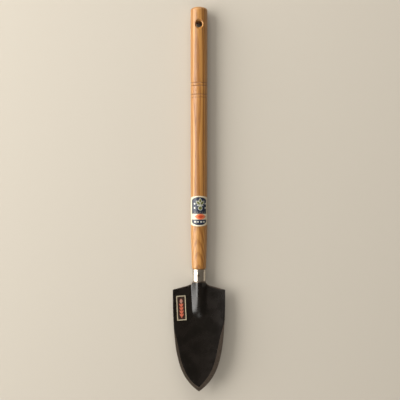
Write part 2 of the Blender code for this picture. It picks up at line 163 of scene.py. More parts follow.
def sweep(name: str, rings: Sequence[tuple[float, Place]], sides: int, along: Along, wall: Wall) -> Piece:
    """Draw a round piece out of a circle, ring by ring, as on a lathe or along a bent line.

    Args:
        name: the new piece's name.
        rings: each ring's radius and centre, in order.
        sides: how many sides the circle has.
        along: the axis that the rings stand square to.
        wall: whether the ends close to a point or meet each other.

    Returns:
        The closed piece.
    """
    radius, centre = rings[0]
    turn = (math.pi / 2, 0.0, 0.0) if along is Along.Y else (0.0, 0.0, 0.0)
    clear_selection()
    bpy.ops.mesh.primitive_circle_add(vertices=sides, radius=radius, location=centre, rotation=turn)
    piece = take_piece(name)
    with editing(piece):
        bpy.ops.mesh.select_mode(type="VERT")
        bpy.ops.mesh.select_all(action="SELECT")
        for wider, middle in rings[1:]:
            step = tuple(new - old for new, old in zip(middle, centre))
            bpy.ops.mesh.extrude_region_move(TRANSFORM_OT_translate={"value": step})
            grow = wider / radius
            scale = (grow, 1.0, grow) if along is Along.Y else (grow, grow, 1.0)
            bpy.ops.transform.resize(value=scale, center_override=middle)
            radius, centre = wider, middle
        if wall is Wall.SOLID:
            bpy.ops.mesh.merge(type="CENTER")
            start_radius, start = rings[0]
            pick_points(piece, lambda place: (place - Vector(start)).length < 1.01 * start_radius)
            bpy.ops.mesh.merge(type="CENTER")
    settle(piece)
    return piece


def apply_modifier(piece: Piece, modifier: bpy.types.Modifier) -> None:
    """Apply one modifier to a piece's mesh."""
    select_only(piece)
    bpy.ops.object.modifier_apply(modifier=modifier.name)


def cut_away(piece: Piece, cutter: Piece) -> None:
    """Cut a cutter's shape out of a piece, then throw the cutter away.

    Args:
        piece: the piece that is cut.
        cutter: a closed mesh that reaches past the piece.
    """
    boolean = piece.modifiers.new("cut", "BOOLEAN")
    boolean.operation = "DIFFERENCE"
    boolean.solver = "EXACT"
    boolean.object = cutter
    apply_modifier(piece, boolean)
    bpy.data.objects.remove(cutter, do_unlink=True)


def pressed_grid(name: str, columns: int, rows: int, place: Callable[[int, int], Place]) -> Piece:
    """Press a flat grid into a sheet: each point goes to place(column, row).

    Args:
        name: the new piece's name.
        columns: how many faces the grid has across.
        rows: how many faces it has along.
        place: gives where the point of a column and row goes.

    Returns:
        The open sheet, its faces up, which keeps the grid's UV map.
    """
    clear_selection()
    bpy.ops.mesh.primitive_grid_add(x_subdivisions=columns, y_subdivisions=rows, size=1.0)
    piece = take_piece(name)
    for point in piece.data.vertices:
        column = round((point.co.x + 0.5) * columns)
        row = round((point.co.y + 0.5) * rows)
        point.co = place(column, row)
    settle(piece)
    faces = piece.data.polygons
    if sum(face.normal.z * face.area for face in faces) < 0:
        piece.data.flip_normals()
    return piece


def finish_piece(
    piece: Piece, material: bpy.types.Material, nodes: Sequence[str], sharp: float
) -> None:
    """Shade a piece, dress it, and set it on the frame.

    Args:
        piece: the finished mesh.
        material: what it is made of.
        nodes: the frame's nodes that it stands for.
        sharp: edges that turn more than this many degrees stay sharp.
    """
    select_only(piece)
    bpy.ops.object.shade_smooth_by_angle(angle=math.radians(sharp))
    piece.data.materials.clear()
    piece.data.materials.append(material)
    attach(piece, BODY)
    if nodes:
        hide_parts(*nodes)
    log.info("%s: %d faces, %s", piece.name, len(piece.data.polygons), material.name)


# Finishes


class PaintShop:
    """Adds shader nodes to one new material and links them."""

    def __init__(self, name: str) -> None:
        """Start a material with its plain shader.

        Args:
            name: the material's name.
        """
        self.material = bpy.data.materials.new(name)
        self.material.use_nodes = True
        self.tree = self.material.node_tree
        self.shader = self.tree.nodes["Principled BSDF"]

    def add(self, kind: str, **settings: object) -> bpy.types.Node:
        """Add a node and set its options.

        Args:
            kind: the node's type.
            settings: options by name.

        Returns:
            The node.
        """
        node = self.tree.nodes.new(kind)
        for option, value in settings.items():
            setattr(node, option, value)
        return node

    def feed(self, socket: Socket, value: object) -> None:
        """Link an input to an output, or set it to a number or colour."""
        if isinstance(value, bpy.types.NodeSocket):
            self.tree.links.new(value, socket)
        elif isinstance(value, tuple) and len(value) == 3 and socket.type == "RGBA":
            socket.default_value = (*value, 1.0)
        else:
            socket.default_value = value

    def set(self, **values: object) -> None:
        """Feed the shader's inputs, with their names' spaces as underscores."""
        for name, value in values.items():
            self.feed(self.shader.inputs[name.replace("_", " ")], value)

    def math(self, operation: str, *values: object, clamp: bool = False) -> Socket:
        """One Math node.

        Args:
            operation: what it does.
            values: its inputs, outputs of other nodes or numbers.
            clamp: whether the result stays from 0 to 1.

        Returns:
            Its output.
        """
        node = self.add("ShaderNodeMath", operation=operation, use_clamp=clamp)
        for socket, value in zip(node.inputs, values):
            self.feed(socket, value)
        return node.outputs[0]

    def mix(self, share: object, low: object, high: object, blend: str = "MIX") -> Socket:
        """Mix two colours.

        Args:
            share: how much of the second is taken.
            low: the first colour.
            high: the second colour.
            blend: how they mix.

        Returns:
            The mixed colour.
        """
        node = self.add("ShaderNodeMix", data_type="RGBA", blend_type=blend)
        for index, value in ((0, share), (6, low), (7, high)):
            self.feed(node.inputs[index], value)
        return node.outputs[2]

    def spread(self, value: object, start: float, end: float, low: float = 0.0, high: float = 1.0) -> Socket:
        """Ease a value that goes from start to end into one that goes from low to high.

        Returns:
            The eased value, which stays from low to high.
        """
        node = self.add("ShaderNodeMapRange", interpolation_type="SMOOTHSTEP")
        for socket, number in zip(node.inputs, (value, start, end, low, high)):
            self.feed(socket, number)
        return node.outputs[0]

    def object_place(self) -> Socket:
        """The surface's own place in the tool, in metres."""
        return self.add("ShaderNodeTexCoord").outputs["Object"]

    def axes(self, place: Socket) -> tuple[Socket, Socket, Socket]:
        """Split a place into x, y and z."""
        node = self.add("ShaderNodeSeparateXYZ")
        self.feed(node.inputs[0], place)
        return tuple(node.outputs)

    def stretch(self, place: Socket, scale: Place) -> Socket:
        """Scale a place, so that a pattern on it is drawn out.

        Args:
            place: the place that is scaled.
            scale: how much each axis is multiplied by.

        Returns:
            The scaled place.
        """
        node = self.add("ShaderNodeMapping")
        self.feed(node.inputs["Vector"], place)
        self.feed(node.inputs["Scale"], scale)
        return node.outputs[0]

    def noise(self, place: Socket, scale: float, detail: float = 3.0, roughness: float = 0.5) -> Socket:
        """Soft noise, from 0 to 1.

        Args:
            place: where it is read.
            scale: how fine it is.
            detail: how many finer layers it has.
            roughness: how strong those layers are.

        Returns:
            The noise's strength.
        """
        node = self.add("ShaderNodeTexNoise")
        settings = {"Vector": place, "Scale": scale, "Detail": detail, "Roughness": roughness}
        for name, value in settings.items():
            self.feed(node.inputs[name], value)
        return node.outputs["Fac"]

    def bump(self, height: Socket, depth: float, strength: float = 1.0) -> None:
        """Raise the surface by a height, on top of what already raises it.

        Args:
            height: from 0 to 1.
            depth: what a height of 1 stands for, in metres.
            strength: how much of it shows.
        """
        node = self.add("ShaderNodeBump")
        node.inputs["Strength"].default_value = strength
        node.inputs["Distance"].default_value = depth
        self.feed(node.inputs["Height"], height)
        normal = self.shader.inputs["Normal"]
        if normal.is_linked:
            self.feed(node.inputs["Normal"], normal.links[0].from_socket)
        self.feed(normal, node.outputs[0])


@dataclass(frozen=True)
class OakFinish:
    """Light ring-porous oak, turned and oiled: growth rings, pores, rays, and painted shade in the ring
    grooves.
    """

    late_wood: Colour = (0.450, 0.215, 0.056)
    early_wood: Colour = (0.205, 0.076, 0.014)
    pore: Colour = (0.110, 0.040, 0.011)
    pale_streak: Colour = (0.580, 0.320, 0.115)
    pith: tuple[float, float] = (0.014, -0.047)
    pith_run: tuple[float, float] = (0.016, 0.012)
    ring: float = 3.1 * MM
    ring_sway: float = 2.6
    dip_from: float = -128.0 * MM
    dip_to: float = -35.0 * MM
    dip_depth: float = 11.0 * MM
    grooves: tuple[float, ...] = ()
    groove_shade: float = 0.55

    def rings(self, shop: PaintShop, place: Socket) -> Socket:
        """Where a point lies between two growth rings, from 0 to 1.

        Args:
            shop: the material that is being made.
            place: the surface's place.

        Returns:
            The share of a year's growth.
        """
        x, y, z = shop.axes(place)
        sway = shop.noise(shop.stretch(place, (18.0, 5.0, 18.0)), 1.0, 2.0)
        across = shop.math("SUBTRACT", x, shop.math("MULTIPLY_ADD", y, self.pith_run[0], self.pith[0]))
        dip = shop.spread(y, self.dip_from, self.dip_to, self.dip_depth, 0.0)
        bent = shop.math("ADD", z, dip)
        deep = shop.math("SUBTRACT", bent, shop.math("MULTIPLY_ADD", y, self.pith_run[1], self.pith[1]))
        squares = shop.math("ADD", shop.math("MULTIPLY", across, across), shop.math("MULTIPLY", deep, deep))
        years = shop.math("MULTIPLY", shop.math("SQRT", squares), 1 / self.ring)
        return shop.math("FRACT", shop.math("MULTIPLY_ADD", sway, self.ring_sway, years))

    def make(self) -> bpy.types.Material:
        """Make the oak."""
        shop = PaintShop("oiled_oak")
        place = shop.object_place()
        year = self.rings(shop, place)
        early = shop.math("MULTIPLY", shop.spread(year, 0.0, 0.10), shop.spread(year, 0.62, 0.22), clamp=True)
        fibre = shop.noise(shop.stretch(place, (520.0, 7.0, 520.0)), 1.0, 4.0, 0.62)
        streak = shop.noise(shop.stretch(place, (150.0, 2.2, 150.0)), 1.0, 3.0, 0.55)
        vessel = shop.noise(shop.stretch(place, (1500.0, 52.0, 1500.0)), 1.0, 2.0, 0.5)
        ray = shop.noise(shop.stretch(place, (900.0, 130.0, 240.0)), 1.0, 1.0, 0.4)
        patch = shop.noise(shop.stretch(place, (30.0, 9.0, 30.0)), 1.0, 2.0, 0.5)
        pored = shop.spread(early, -0.2, 1.0, 0.30, 1.0)
        pores = shop.math("MULTIPLY", shop.spread(vessel, 0.56, 0.70), pored)
        colour = shop.mix(shop.math("MULTIPLY", early, 0.72), self.late_wood, self.early_wood)
        colour = shop.mix(shop.spread(streak, 0.50, 0.74, 0.0, 0.75), colour, self.pale_streak)
        colour = shop.mix(shop.spread(streak, 0.48, 0.28, 0.0, 0.75), colour, self.early_wood)
        colour = shop.mix(shop.spread(fibre, 0.58, 0.36, 0.0, 0.45), colour, self.early_wood)
        colour = shop.mix(shop.spread(ray, 0.66, 0.78, 0.0, 0.35), colour, self.early_wood)
        colour = shop.mix(shop.math("MULTIPLY", pores, 0.72), colour, self.pore)
        tone = shop.spread(patch, 0.3, 0.7, 0.90, 1.06)
        colour = shop.mix(1.0, colour, shop.mix(tone, (0.0, 0.0, 0.0), (1.0, 1.0, 1.0)), "MULTIPLY")
        # Painted shade: the bottoms of the ring grooves are darkened towards the pore colour.
        colour = shop.mix(self.painted_groove_shade(shop, place), colour, self.pore)
        shine = shop.math("MULTIPLY_ADD", pores, 0.25, shop.spread(fibre, 0.3, 0.7, 0.27, 0.40))
        shop.set(Base_Color=colour, Roughness=shine)
        shop.bump(shop.math("SUBTRACT", 1.0, pores), 0.09 * MM, 0.55)
        shop.bump(fibre, 0.05 * MM, 0.35)
        return shop.material

    def painted_groove_shade(self, shop: PaintShop, place: Socket) -> Socket:
        """Painted shade that darkens the bottoms of the ring grooves.

        Args:
            shop: the material that is being made.
            place: the surface's place.

        Returns:
            How dark the surface is, from 0 to 1.
        """
        along = shop.axes(place)[1]
        total: object = 0.0
        for groove in self.grooves:
            away = shop.math("ABSOLUTE", shop.math("SUBTRACT", along, groove))
            total = shop.math("ADD", total, shop.spread(away, 0.8 * MM, 0.2 * MM, 0.0, self.groove_shade))
        return shop.math("MINIMUM", total, 0.6)


@dataclass(frozen=True)
class PolishedSteelFinish:
    """Bright turned stainless: fine lines round it, finger marks, and painted shade that darkens both ends
    where they meet the next parts.
    """

    name: str = "polished_stainless"
    metal: Colour = (0.660, 0.600, 0.520)
    stain_and_end_shade: Colour = (0.210, 0.165, 0.120)
    ends: tuple[float, float] = (0.0, 1.0)
    end_shade_reach: float = 1.7 * MM
    end_shade_full: float = 0.7 * MM
    end_shade_waver: float = 1.2 * MM

    def make(self) -> bpy.types.Material:
        """Make the bright steel."""
        shop = PaintShop(self.name)
        place = shop.object_place()
        along = shop.axes(place)[1]
        lines = shop.noise(shop.stretch(place, (6.0, 5200.0, 6.0)), 1.0, 3.0, 0.6)
        smear = shop.noise(place, 210.0, 4.0, 0.6)
        stain = shop.noise(place, 620.0, 3.0, 0.6)
        low, high = self.ends
        past_low, below_high = shop.math("SUBTRACT", along, low), shop.math("SUBTRACT", high, along)
        from_end = shop.math("MINIMUM", past_low, below_high)
        wavering = shop.math("MULTIPLY_ADD", stain, self.end_shade_waver, from_end)
        # Painted shade: a band at each end of the ring, wavering with the stain noise, is darkened towards a
        # dark brown. The finger-mark spots share that colour.
        end_shade = shop.spread(wavering, self.end_shade_reach, self.end_shade_full)
        spots = shop.spread(stain, 0.66, 0.76, 0.0, 0.5)
        colour = shop.mix(shop.math("MAXIMUM", end_shade, spots), self.metal, self.stain_and_end_shade)
        rough = shop.math("MULTIPLY_ADD", end_shade, 0.25, shop.spread(smear, 0.35, 0.65, 0.17, 0.27))
        shop.set(Base_Color=colour, Metallic=1.0, Roughness=rough)
        shop.bump(lines, 0.006 * MM, 0.5)
        return shop.material


@dataclass(frozen=True)
class BlackedSteelFinish:
    """Satin black on pressed steel, with the ground band and worn edges bare."""

    black: Colour = (0.0022, 0.0014, 0.0007)
    brown: Colour = (0.0050, 0.0030, 0.0018)
    bare: Colour = (0.150, 0.120, 0.096)
    grind: Colour = (0.082, 0.062, 0.047)
    burr: Colour = (0.0015, 0.0010, 0.0006)
    left_start: float = 0.46
    right_start: float = 0.08
    change_over: float = 12.0 * MM

    def make(self) -> bpy.types.Material:
        """Make the blacked steel, which reads the blade's own ground and rim attributes."""
        shop = PaintShop("blacked_steel")
        place = shop.object_place()
        ground = shop.add("ShaderNodeAttribute", attribute_name="ground").outputs["Fac"]
        rim = shop.add("ShaderNodeAttribute", attribute_name="rim").outputs["Fac"]
        ragged = shop.noise(place, 900.0, 3.0, 0.6)
        cloud = shop.noise(place, 42.0, 4.0, 0.55)
        grain = shop.noise(place, 2600.0, 3.0, 0.6)
        scratch = shop.noise(shop.stretch(place, (2400.0, 60.0, 300.0)), 1.0, 2.0, 0.5)
        strokes = shop.noise(shop.stretch(place, (260.0, 5200.0, 260.0)), 1.0, 3.0, 0.7)
        across = shop.axes(place)[0]
        edge = shop.math("MULTIPLY_ADD", ragged, 0.10, ground)
        start = shop.spread(across, -self.change_over, self.change_over, self.left_start, self.right_start)
        cut = shop.spread(shop.math("SUBTRACT", edge, start), 0.0, 0.07)
        line = shop.math("MULTIPLY", shop.spread(edge, -0.04, 0.03), shop.spread(edge, 0.16, 0.06))
        wear = shop.spread(shop.math("MULTIPLY_ADD", ragged, 0.6, rim), 1.22, 1.48, 0.0, 0.55)
        bared = shop.math("MAXIMUM", cut, wear)
        colour = shop.mix(shop.spread(cloud, 0.35, 0.68), self.black, self.brown)
        colour = shop.mix(shop.spread(scratch, 0.70, 0.80, 0.0, 0.30), colour, self.grind)
        colour = shop.mix(line, colour, self.burr)
        metal = shop.mix(shop.spread(strokes, 0.36, 0.62), self.grind, self.bare)
        rough = shop.math("MULTIPLY_ADD", bared, 0.10, shop.spread(cloud, 0.3, 0.7, 0.22, 0.31))
        shop.set(Base_Color=shop.mix(bared, colour, metal), Roughness=rough)
        shop.set(Metallic=shop.math("MULTIPLY", bared, 0.85))
        shop.bump(grain, 0.03 * MM, 0.35)
        shop.bump(shop.math("MULTIPLY", strokes, bared), 0.04 * MM, 0.6)
        return shop.material


@dataclass(frozen=True)
class ForgedSteelFinish:
    """Dark forged steel with scale, or the brighter, tinted steel of a weld."""

    name: str
    dark: Colour
    light: Colour
    rough: tuple[float, float]
    rust: Colour = (0.110, 0.045, 0.018)

    def make(self) -> bpy.types.Material:
        """Make the forged steel."""
        shop = PaintShop(self.name)
        place = shop.object_place()
        scale = shop.noise(place, 420.0, 5.0, 0.65)
        pits = shop.noise(place, 1700.0, 3.0, 0.6)
        rusting = shop.noise(place, 90.0, 4.0, 0.6)
        colour = shop.mix(shop.spread(scale, 0.38, 0.62), self.dark, self.light)
        colour = shop.mix(shop.spread(rusting, 0.60, 0.74, 0.0, 0.55), colour, self.rust)
        shop.set(Base_Color=colour, Metallic=0.75, Roughness=shop.spread(pits, 0.3, 0.7, *self.rough))
        shop.bump(scale, 0.15 * MM, 0.7)
        shop.bump(pits, 0.04 * MM, 0.5)
        return shop.material


class Print:
    """Draws flat shapes on a label in its own millimetres, one over another."""

    soft_edge: float = 0.12
    scuffed: Colour = (0.42, 0.36, 0.28)

    def __init__(self, shop: PaintShop, across: Socket, down: Socket, paper: Colour) -> None:
        """Start with bare paper.

        Args:
            shop: the material that is being made.
            across: millimetres to the right of the label's middle line.
            down: millimetres below the label's middle.
            paper: the paper's colour.
        """
        self.shop = shop
        self.across = across
        self.down = down
        self.colour: object = paper

    def ink(self, inside: Socket, colour: Colour, strength: float = 1.0) -> None:
        """Print a colour where inside, in millimetres, is above 0.

        Args:
            inside: how far a point is within the shape.
            colour: the ink.
            strength: how opaque it is.
        """
        shown = self.shop.spread(inside, -self.soft_edge, self.soft_edge, 0.0, strength)
        self.colour = self.shop.mix(shown, self.colour, colour)

    def shifted(self, centre: tuple[float, float], turn: float = 0.0) -> tuple[Socket, Socket]:
        """The label's millimetres from a centre, turned by some degrees."""
        shop = self.shop
        x = shop.math("SUBTRACT", self.across, centre[0])
        y = shop.math("SUBTRACT", self.down, centre[1])
        if not turn:
            return x, y
        cosine, sine = math.cos(math.radians(turn)), math.sin(math.radians(turn))
        turned_x = shop.math("MULTIPLY_ADD", x, cosine, shop.math("MULTIPLY", y, sine))
        turned_y = shop.math("MULTIPLY_ADD", y, cosine, shop.math("MULTIPLY", x, -sine))
        return turned_x, turned_y

    def dot(self, centre: tuple[float, float], radius: float) -> Socket:
        """How far a point is within a round dot."""
        shop = self.shop
        x, y = self.shifted(centre)
        squares = shop.math("ADD", shop.math("MULTIPLY", x, x), shop.math("MULTIPLY", y, y))
        return shop.math("SUBTRACT", radius, shop.math("SQRT", squares))

    def bar(self, centre: tuple[float, float], half: tuple[float, float]) -> Socket:
        """How far a point is within a bar of these half sizes."""
        shop = self.shop
        x, y = self.shifted(centre)
        sides = shop.math("SUBTRACT", half[0], shop.math("ABSOLUTE", x))
        ends = shop.math("SUBTRACT", half[1], shop.math("ABSOLUTE", y))
        return shop.math("MINIMUM", sides, ends)

    def leaf(self, centre: tuple[float, float], half: tuple[float, float], turn: float) -> Socket:
        """How far a point is within a pointed leaf, half its width and length given."""
        shop = self.shop
        x, y = self.shifted(centre, turn)
        share = shop.math("MULTIPLY", y, 1 / half[1])
        narrowing = shop.math("SUBTRACT", 1.0, shop.math("MULTIPLY", share, share))
        width = shop.math("MULTIPLY", narrowing, half[0])
        return shop.math("SUBTRACT", width, shop.math("ABSOLUTE", x))

    def dress(self, gloss: float) -> bpy.types.Material:
        """Give the label its ink, scuffs and paper texture.

        Args:
            gloss: the roughness of clean print.

        Returns:
            The finished material.
        """
        shop = self.shop
        place = shop.object_place()
        scuff = shop.noise(place, 340.0, 4.0, 0.62)
        fibre = shop.noise(place, 2800.0, 2.0, 0.5)
        colour = shop.mix(shop.spread(scuff, 0.62, 0.80, 0.0, 0.30), self.colour, self.scuffed)
        shop.set(Base_Color=colour, Roughness=shop.spread(scuff, 0.3, 0.7, gloss, gloss + 0.14))
        shop.bump(fibre, 0.02 * MM, 0.3)
        return shop.material


@dataclass(frozen=True)
class HandlePrint:
    """The handle label's print: a sprig and dots on navy, and a cream band with an orange lozenge."""

    arc: float
    length: float
    arch: float
    cream: Colour = (0.56, 0.49, 0.36)
    navy: Colour = (0.008, 0.014, 0.032)
    olive: Colour = (0.100, 0.105, 0.022)
    white: Colour = (0.52, 0.52, 0.46)
    orange: Colour = (0.60, 0.150, 0.060)
    red: Colour = (0.42, 0.050, 0.018)
    border: float = 1.9
    corner: float = 7.0
    field_half: tuple[float, float] = (12.9, 40.0)
    lozenge: tuple[float, float] = (2.4, 8.6)
    sprig: tuple[float, float] = (1.8, -12.6)
    seed: tuple[float, float] = (1.8, -4.6)

    def make(self) -> bpy.types.Material:
        """Print the label, on its own UV map."""
        shop = PaintShop("handle_print")
        u, v, _ = shop.axes(shop.add("ShaderNodeTexCoord").outputs["UV"])
        side = shop.math("MULTIPLY_ADD", u, 2.0, -1.0)
        half = shop.math("MULTIPLY_ADD", shop.math("MULTIPLY", side, side), -self.arch, self.length / 2)
        across = shop.math("MULTIPLY", side, self.arc / 2)
        down = shop.math("MULTIPLY", shop.math("MULTIPLY_ADD", v, 2.0, -1.0), half)
        label = Print(shop, across, down, self.cream)
        cube = shop.math("POWER", shop.math("ABSOLUTE", side), 3.0)
        rounding = shop.math("MULTIPLY_ADD", cube, -self.corner, -self.border)
        ends = shop.math("SUBTRACT", shop.math("ADD", half, rounding), shop.math("ABSOLUTE", down))
        sides = label.bar((0.2, 0.0), self.field_half)
        label.ink(shop.math("MINIMUM", ends, sides), self.navy)
        label.ink(label.bar((0.8, 8.6), (14.0, 4.45)), self.cream)
        label.ink(label.leaf(self.lozenge, (4.4, 9.4), 90.0), self.orange)
        label.ink(label.leaf(self.lozenge, (2.3, 4.4), 90.0), self.red)
        for turn, reach, rise in ((0.0, 0.0, -2.6), (48.0, 3.0, 0.0), (-48.0, -3.0, 0.0)):
            leaf = (self.sprig[0] + reach, self.sprig[1] + rise)
            label.ink(label.leaf(leaf, (2.5, 4.9), turn), self.white)
            label.ink(label.leaf(leaf, (1.8, 4.1), turn), self.olive)
        label.ink(label.bar((1.8, -8.6), (5.2, 0.45)), self.white)
        label.ink(label.dot(self.seed, 3.4), self.white)
        label.ink(label.dot(self.seed, 2.7), self.olive)
        for x, y in ((-7.2, -11.4), (-7.2, -4.8), (10.6, -11.4), (10.6, -4.8)):
            label.ink(label.dot((x, y), 1.35), self.white)
        for x in (-6.4, -2.4, 1.6, 5.6, 9.6):
            label.ink(label.bar((x, 1.6), (1.2, 0.3)), self.cream, 0.55)
        for x, wide in ((-6.2, 1.7), (-1.6, 1.2), (3.4, 1.4), (8.0, 1.6)):
            label.ink(label.bar((x, 16.6), (wide, 1.2)), self.white, 0.85)
        return label.dress(0.30)


@dataclass(frozen=True)
class BladePrint:
    """The blade sticker's print: a salmon twig on black-brown, inside a cream border."""

    width: float
    length: float
    cream: Colour = (0.42, 0.37, 0.26)
    field: Colour = (0.022, 0.007, 0.003)
    salmon: Colour = (0.50, 0.120, 0.066)
    pink: Colour = (0.36, 0.170, 0.125)
    border: float = 1.3
    leaf_slant: float = 26.0

    def make(self) -> bpy.types.Material:
        """Print the sticker, on its own UV map."""
        shop = PaintShop("sticker_print")
        u, v, _ = shop.axes(shop.add("ShaderNodeTexCoord").outputs["UV"])
        across = shop.math("MULTIPLY_ADD", u, self.width, -self.width / 2)
        down = shop.math("MULTIPLY_ADD", v, -self.length, self.length / 2)
        sticker = Print(shop, across, down, self.cream)
        inner = (self.width / 2 - self.border, self.length / 2 - self.border)
        sticker.ink(sticker.bar((0.0, 0.0), inner), self.field)
        sticker.ink(sticker.bar((0.0, 2.0), (0.55, 13.5)), self.salmon)
        sticker.ink(sticker.leaf((0.0, -10.6), (2.3, 3.8), 0.0), self.pink)
        for y in (-4.4, 0.8, 6.0, 11.0):
            for turn in (-self.leaf_slant, self.leaf_slant):
                sticker.ink(sticker.leaf((math.copysign(1.5, turn), y), (1.05, 3.0), turn), self.salmon)
        return sticker.dress(0.34)


@dataclass(frozen=True)
class FloorFinish:
    """Plain pale matt floor."""

    colour: Colour = (0.455, 0.420, 0.360)

    def make(self) -> bpy.types.Material:
        """Make the floor's paint."""
        shop = PaintShop("pale_floor")
        shop.set(Base_Color=self.colour, Roughness=0.75, Specular_IOR_Level=0.25)
        return shop.material


# The tool's sub-assemblies


@dataclass(frozen=True)
class Datum:
    """Places that all sub-assemblies share, read from the frame."""

    tip_y: float
    neck_y: float
    ferrule_low_y: float
    ferrule_high_y: float
    spigot_end_y: float
    shoulder_y: float
    butt_y: float
    axis_z: float

    @classmethod
    def from_frame(cls) -> "Datum":
        """Read the places from the frame's own nodes.

        Returns:
            The shared places.
        """
        blade, ferrule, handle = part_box("blade"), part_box("ferrule"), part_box("handle")
        return cls(
            tip_y=blade[0].y,
            neck_y=blade[1].y,
            ferrule_low_y=ferrule[0].y,
            ferrule_high_y=ferrule[1].y,
            spigot_end_y=ferrule[0].y + SPIGOT_SETBACK,
            shoulder_y=ferrule[1].y + FIT_GAP,
            butt_y=handle[1].y,
            axis_z=(ferrule[0].z + ferrule[1].z) / 2,
        )


@dataclass
class Handle:
    """The turned oak handle, with its ring grooves, hanging hole, spigot and tang bore."""

    datum: Datum
    length: float = 408.1 * MM
    radius: float = 13.1 * MM
    lower_radius: float = 12.75 * MM
    taper_start: float = 352.0 * MM
    end_radius: float = 11.2 * MM
    end_rounding: float = 3.0 * MM
    butt_flat: float = 5.5 * MM
    butt_rounding: float = 4.5 * MM
    butt_setback: float = 0.01 * MM
    extra_rings: tuple[float, ...] = (130.0 * MM, 150.0 * MM)
    figure_from: float = 170.0 * MM
    grooves: tuple[tuple[float, float], ...] = (
        (118.3 * MM, 0.50 * MM),
        (123.0 * MM, 0.50 * MM),
        (136.5 * MM, 0.55 * MM),
        (141.2 * MM, 0.25 * MM),
    )
    groove_half: float = 0.9 * MM
    hole_from_butt: float = 27.5 * MM
    hole_pitch: float = 0.6 * MM
    hole_radius: float = 5.1 * MM
    mouth_radius: float = 8.2 * MM
    mouth_depth: float = 3.4 * MM
    mouth_curve: float = 1.05
    spigot_radius: float = 9.1 * MM
    bore_radius: float = 4.9 * MM
    bore_end_radius: float = 3.1 * MM
    bore_depth: float = 87.0 * MM
    past: float = 2.0 * MM
    sides: int = 112

    def plain_radius(self, from_butt: float) -> float:
        """Radius of the plain wood at a distance from the butt."""
        places = (0.0, self.taper_start, self.length - self.end_rounding)
        return float(np.interp(from_butt, places, (self.radius, self.lower_radius, self.end_radius)))

    @property
    def spigot_end(self) -> float:
        """Distance from the butt to the spigot's end."""
        return self.length + (self.datum.shoulder_y - self.datum.spigot_end_y)

    def plain_places(self) -> list[float]:
        """Distances from the butt of the plain wood's rings, which are close round the hole."""
        hole, reach = self.hole_from_butt, 16
        wide = [place * MM for place in range(6, 116, 10)]
        clear = [place for place in wide if abs(place - hole) > (reach + 1) * self.hole_pitch]
        close = [hole + step * self.hole_pitch for step in range(-reach, reach + 1)]
        lower = [float(place) for place in np.linspace(self.figure_from, self.taper_start, 12)]
        return [*clear, *close, *self.extra_rings, *lower]

    def profile(self) -> list[tuple[float, float]]:
        """The turned outline as (radius, distance from the butt), from the butt to the spigot's end.

        Returns:
            The outline's points, in order.
        """
        width = self.plain_radius(self.butt_rounding) - self.butt_flat
        flat = (END_RADIUS, 0.6 * self.butt_flat, self.butt_flat)
        points = [(radius, self.butt_setback) for radius in flat]
        for angle in quarter_turn(12)[1:]:
            fall = self.butt_rounding * (1 - math.cos(angle))
            points.append((self.butt_flat + width * math.sin(angle), fall))
        points += [(self.plain_radius(place), place) for place in self.plain_places()]
        for place, depth in self.grooves:
            for step in range(-6, 7):
                share = step / 6
                dip = depth * math.cos(share * math.pi / 2) ** 2
                at = place + share * self.groove_half
                points.append((self.plain_radius(at) - dip, at))
        taper = self.length - self.end_rounding - self.taper_start
        for step in range(1, 8):
            at = self.taper_start + taper * step / 8
            points.append((self.plain_radius(at), at))
        fall = 0.6 * (self.end_radius - self.spigot_radius)
        for angle in quarter_turn(10):
            at = self.length - self.end_rounding * (1 - math.sin(angle))
            points.append((self.end_radius - fall * (1 - math.cos(angle)), at))
        points.sort(key=lambda point: (point[1], point[0]))
        end = self.spigot_end
        return [*points, (self.spigot_radius, self.length), (self.spigot_radius, end), (END_RADIUS, end)]

    def along_handle(self, profile: Sequence[tuple[float, float]]) -> list[tuple[float, Place]]:
        """Rings of an outline of (radius, distance from the butt), on the handle's axis."""
        axis_z, butt_y = self.datum.axis_z, self.datum.butt_y
        return [(radius, (0.0, butt_y - from_butt, axis_z)) for radius, from_butt in profile]

    def hole_cutter(self) -> Piece:
        """The hanging hole's cutter: a bore whose mouths widen in a soft curve."""
        y = self.datum.butt_y - self.hole_from_butt
        outside = self.radius + self.past
        half = [(END_RADIUS, outside), (self.mouth_radius + self.past, outside)]
        for step in range(13):
            share = step / 12
            flare = (self.mouth_radius - self.hole_radius) * (1 - share) ** self.mouth_curve
            half.append((self.hole_radius + flare, self.radius - self.mouth_depth * share))
        profile = half + [(radius, -height) for radius, height in reversed(half)]
        rings = [(radius, (0.0, y, self.datum.axis_z + height)) for radius, height in profile]
        return sweep("hole_cutter", rings, 64, Along.Z, Wall.SOLID)

    def bore_cutter(self) -> Piece:
        """The tang bore's cutter, from the spigot's end into the wood."""
        end, outside = self.spigot_end, self.spigot_end + self.past
        deep = end - self.bore_depth
        profile = [(END_RADIUS, deep), (self.bore_end_radius, deep), (self.bore_radius, end)]
        profile += [(self.bore_radius, outside), (END_RADIUS, outside)]
        return sweep("bore_cutter", self.along_handle(profile), 40, Along.Y, Wall.SOLID)

    def build(self) -> Piece:
        """Turn the handle, bore it and dress it.

        Returns:
            The wooden handle.
        """
        wood = sweep("handle_wood", self.along_handle(self.profile()), self.sides, Along.Y, Wall.SOLID)
        cut_away(wood, self.hole_cutter())
        cut_away(wood, self.bore_cutter())
        places = tuple(self.datum.butt_y - place for place, _ in self.grooves)
        finish_piece(wood, OakFinish(grooves=places).make(), ["handle"], 38.0)
        return wood


